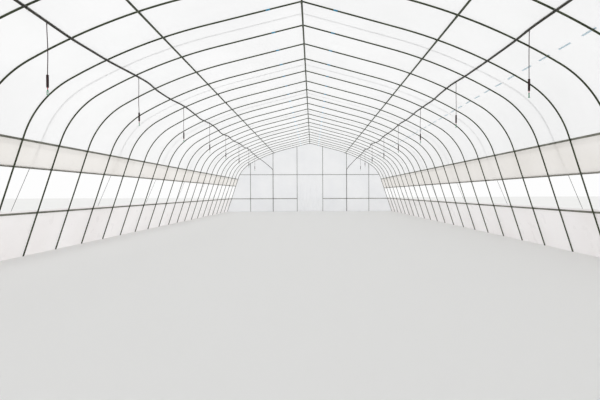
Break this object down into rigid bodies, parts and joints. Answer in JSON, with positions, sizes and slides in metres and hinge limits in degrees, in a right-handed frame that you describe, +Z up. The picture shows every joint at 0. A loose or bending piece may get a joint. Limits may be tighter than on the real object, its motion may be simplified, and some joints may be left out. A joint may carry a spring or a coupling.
{
  "type": "polytunnel greenhouse",
  "caption": "Long film-covered tunnel greenhouse of bent steel hoops, with roll-up sides, film gables with a doorway, and overhead sprinkler hoses.",
  "frame": {"origin": "on the ground, under the ridge, half way along the tunnel", "axes": "+X across the tunnel, +Y along it towards the far gable, +Z up"},
  "size_m": [8.489, 22.48, 3.3871],
  "materials": {
    "steel_pipe": "dull galvanized",
    "film_channel": "dull galvanized",
    "greenhouse_film": "translucent, slightly wrinkled",
    "side_film": "translucent, slightly wrinkled",
    "hose": "matt",
    "line": "twisted",
    "drop_tube": "satin",
    "drop_weight": "painted, satin",
    "adapter": "satin",
    "nozzle": "satin",
    "rope": "braided",
    "peg": "dull galvanized"
  },
  "bodies": {
    "root": {"left_hoop_pipes": "steel_pipe", "right_hoop_pipes": "steel_pipe", "ridge_bends": "steel_pipe", "ridge_purlin": "steel_pipe", "left_roof_purlin": "steel_pipe", "right_roof_purlin": "steel_pipe", "left_roll_tube": "steel_pipe", "right_roll_tube": "steel_pipe", "far_gable_posts": "steel_pipe", "near_gable_posts": "steel_pipe", "far_head_rail": "steel_pipe", "near_head_rail": "steel_pipe", "left_upper_channel": "film_channel", "right_upper_channel": "film_channel", "left_base_channel": "film_channel", "right_base_channel": "film_channel", "far_gable_channels": "film_channel", "near_gable_channels": "film_channel", "roof_film": "greenhouse_film", "far_gable_film_left": "greenhouse_film", "far_gable_film_right": "greenhouse_film", "far_gable_film_over_door": "greenhouse_film", "far_door_curtain": "greenhouse_film", "near_gable_film_left": "greenhouse_film", "near_gable_film_right": "greenhouse_film", "near_gable_film_over_door": "greenhouse_film", "near_door_roll": "greenhouse_film", "left_side_curtain": "side_film", "right_side_curtain": "side_film", "left_skirt_film": "side_film", "right_skirt_film": "side_film", "far_gable_skirts": "side_film", "near_gable_skirts": "side_film", "left_water_hose": "hose", "right_water_hose": "hose", "riser_pipes": "hose", "hose_end_plugs": "hose", "hose_lines": "line", "drop_tubes": "drop_tube", "drop_weights": "drop_weight", "drop_adapters": "adapter", "drop_fittings": "hose", "drop_nozzles": "nozzle", "hold_down_ropes": "rope", "rope_pegs": "peg"}
  },
  "joints": []
}
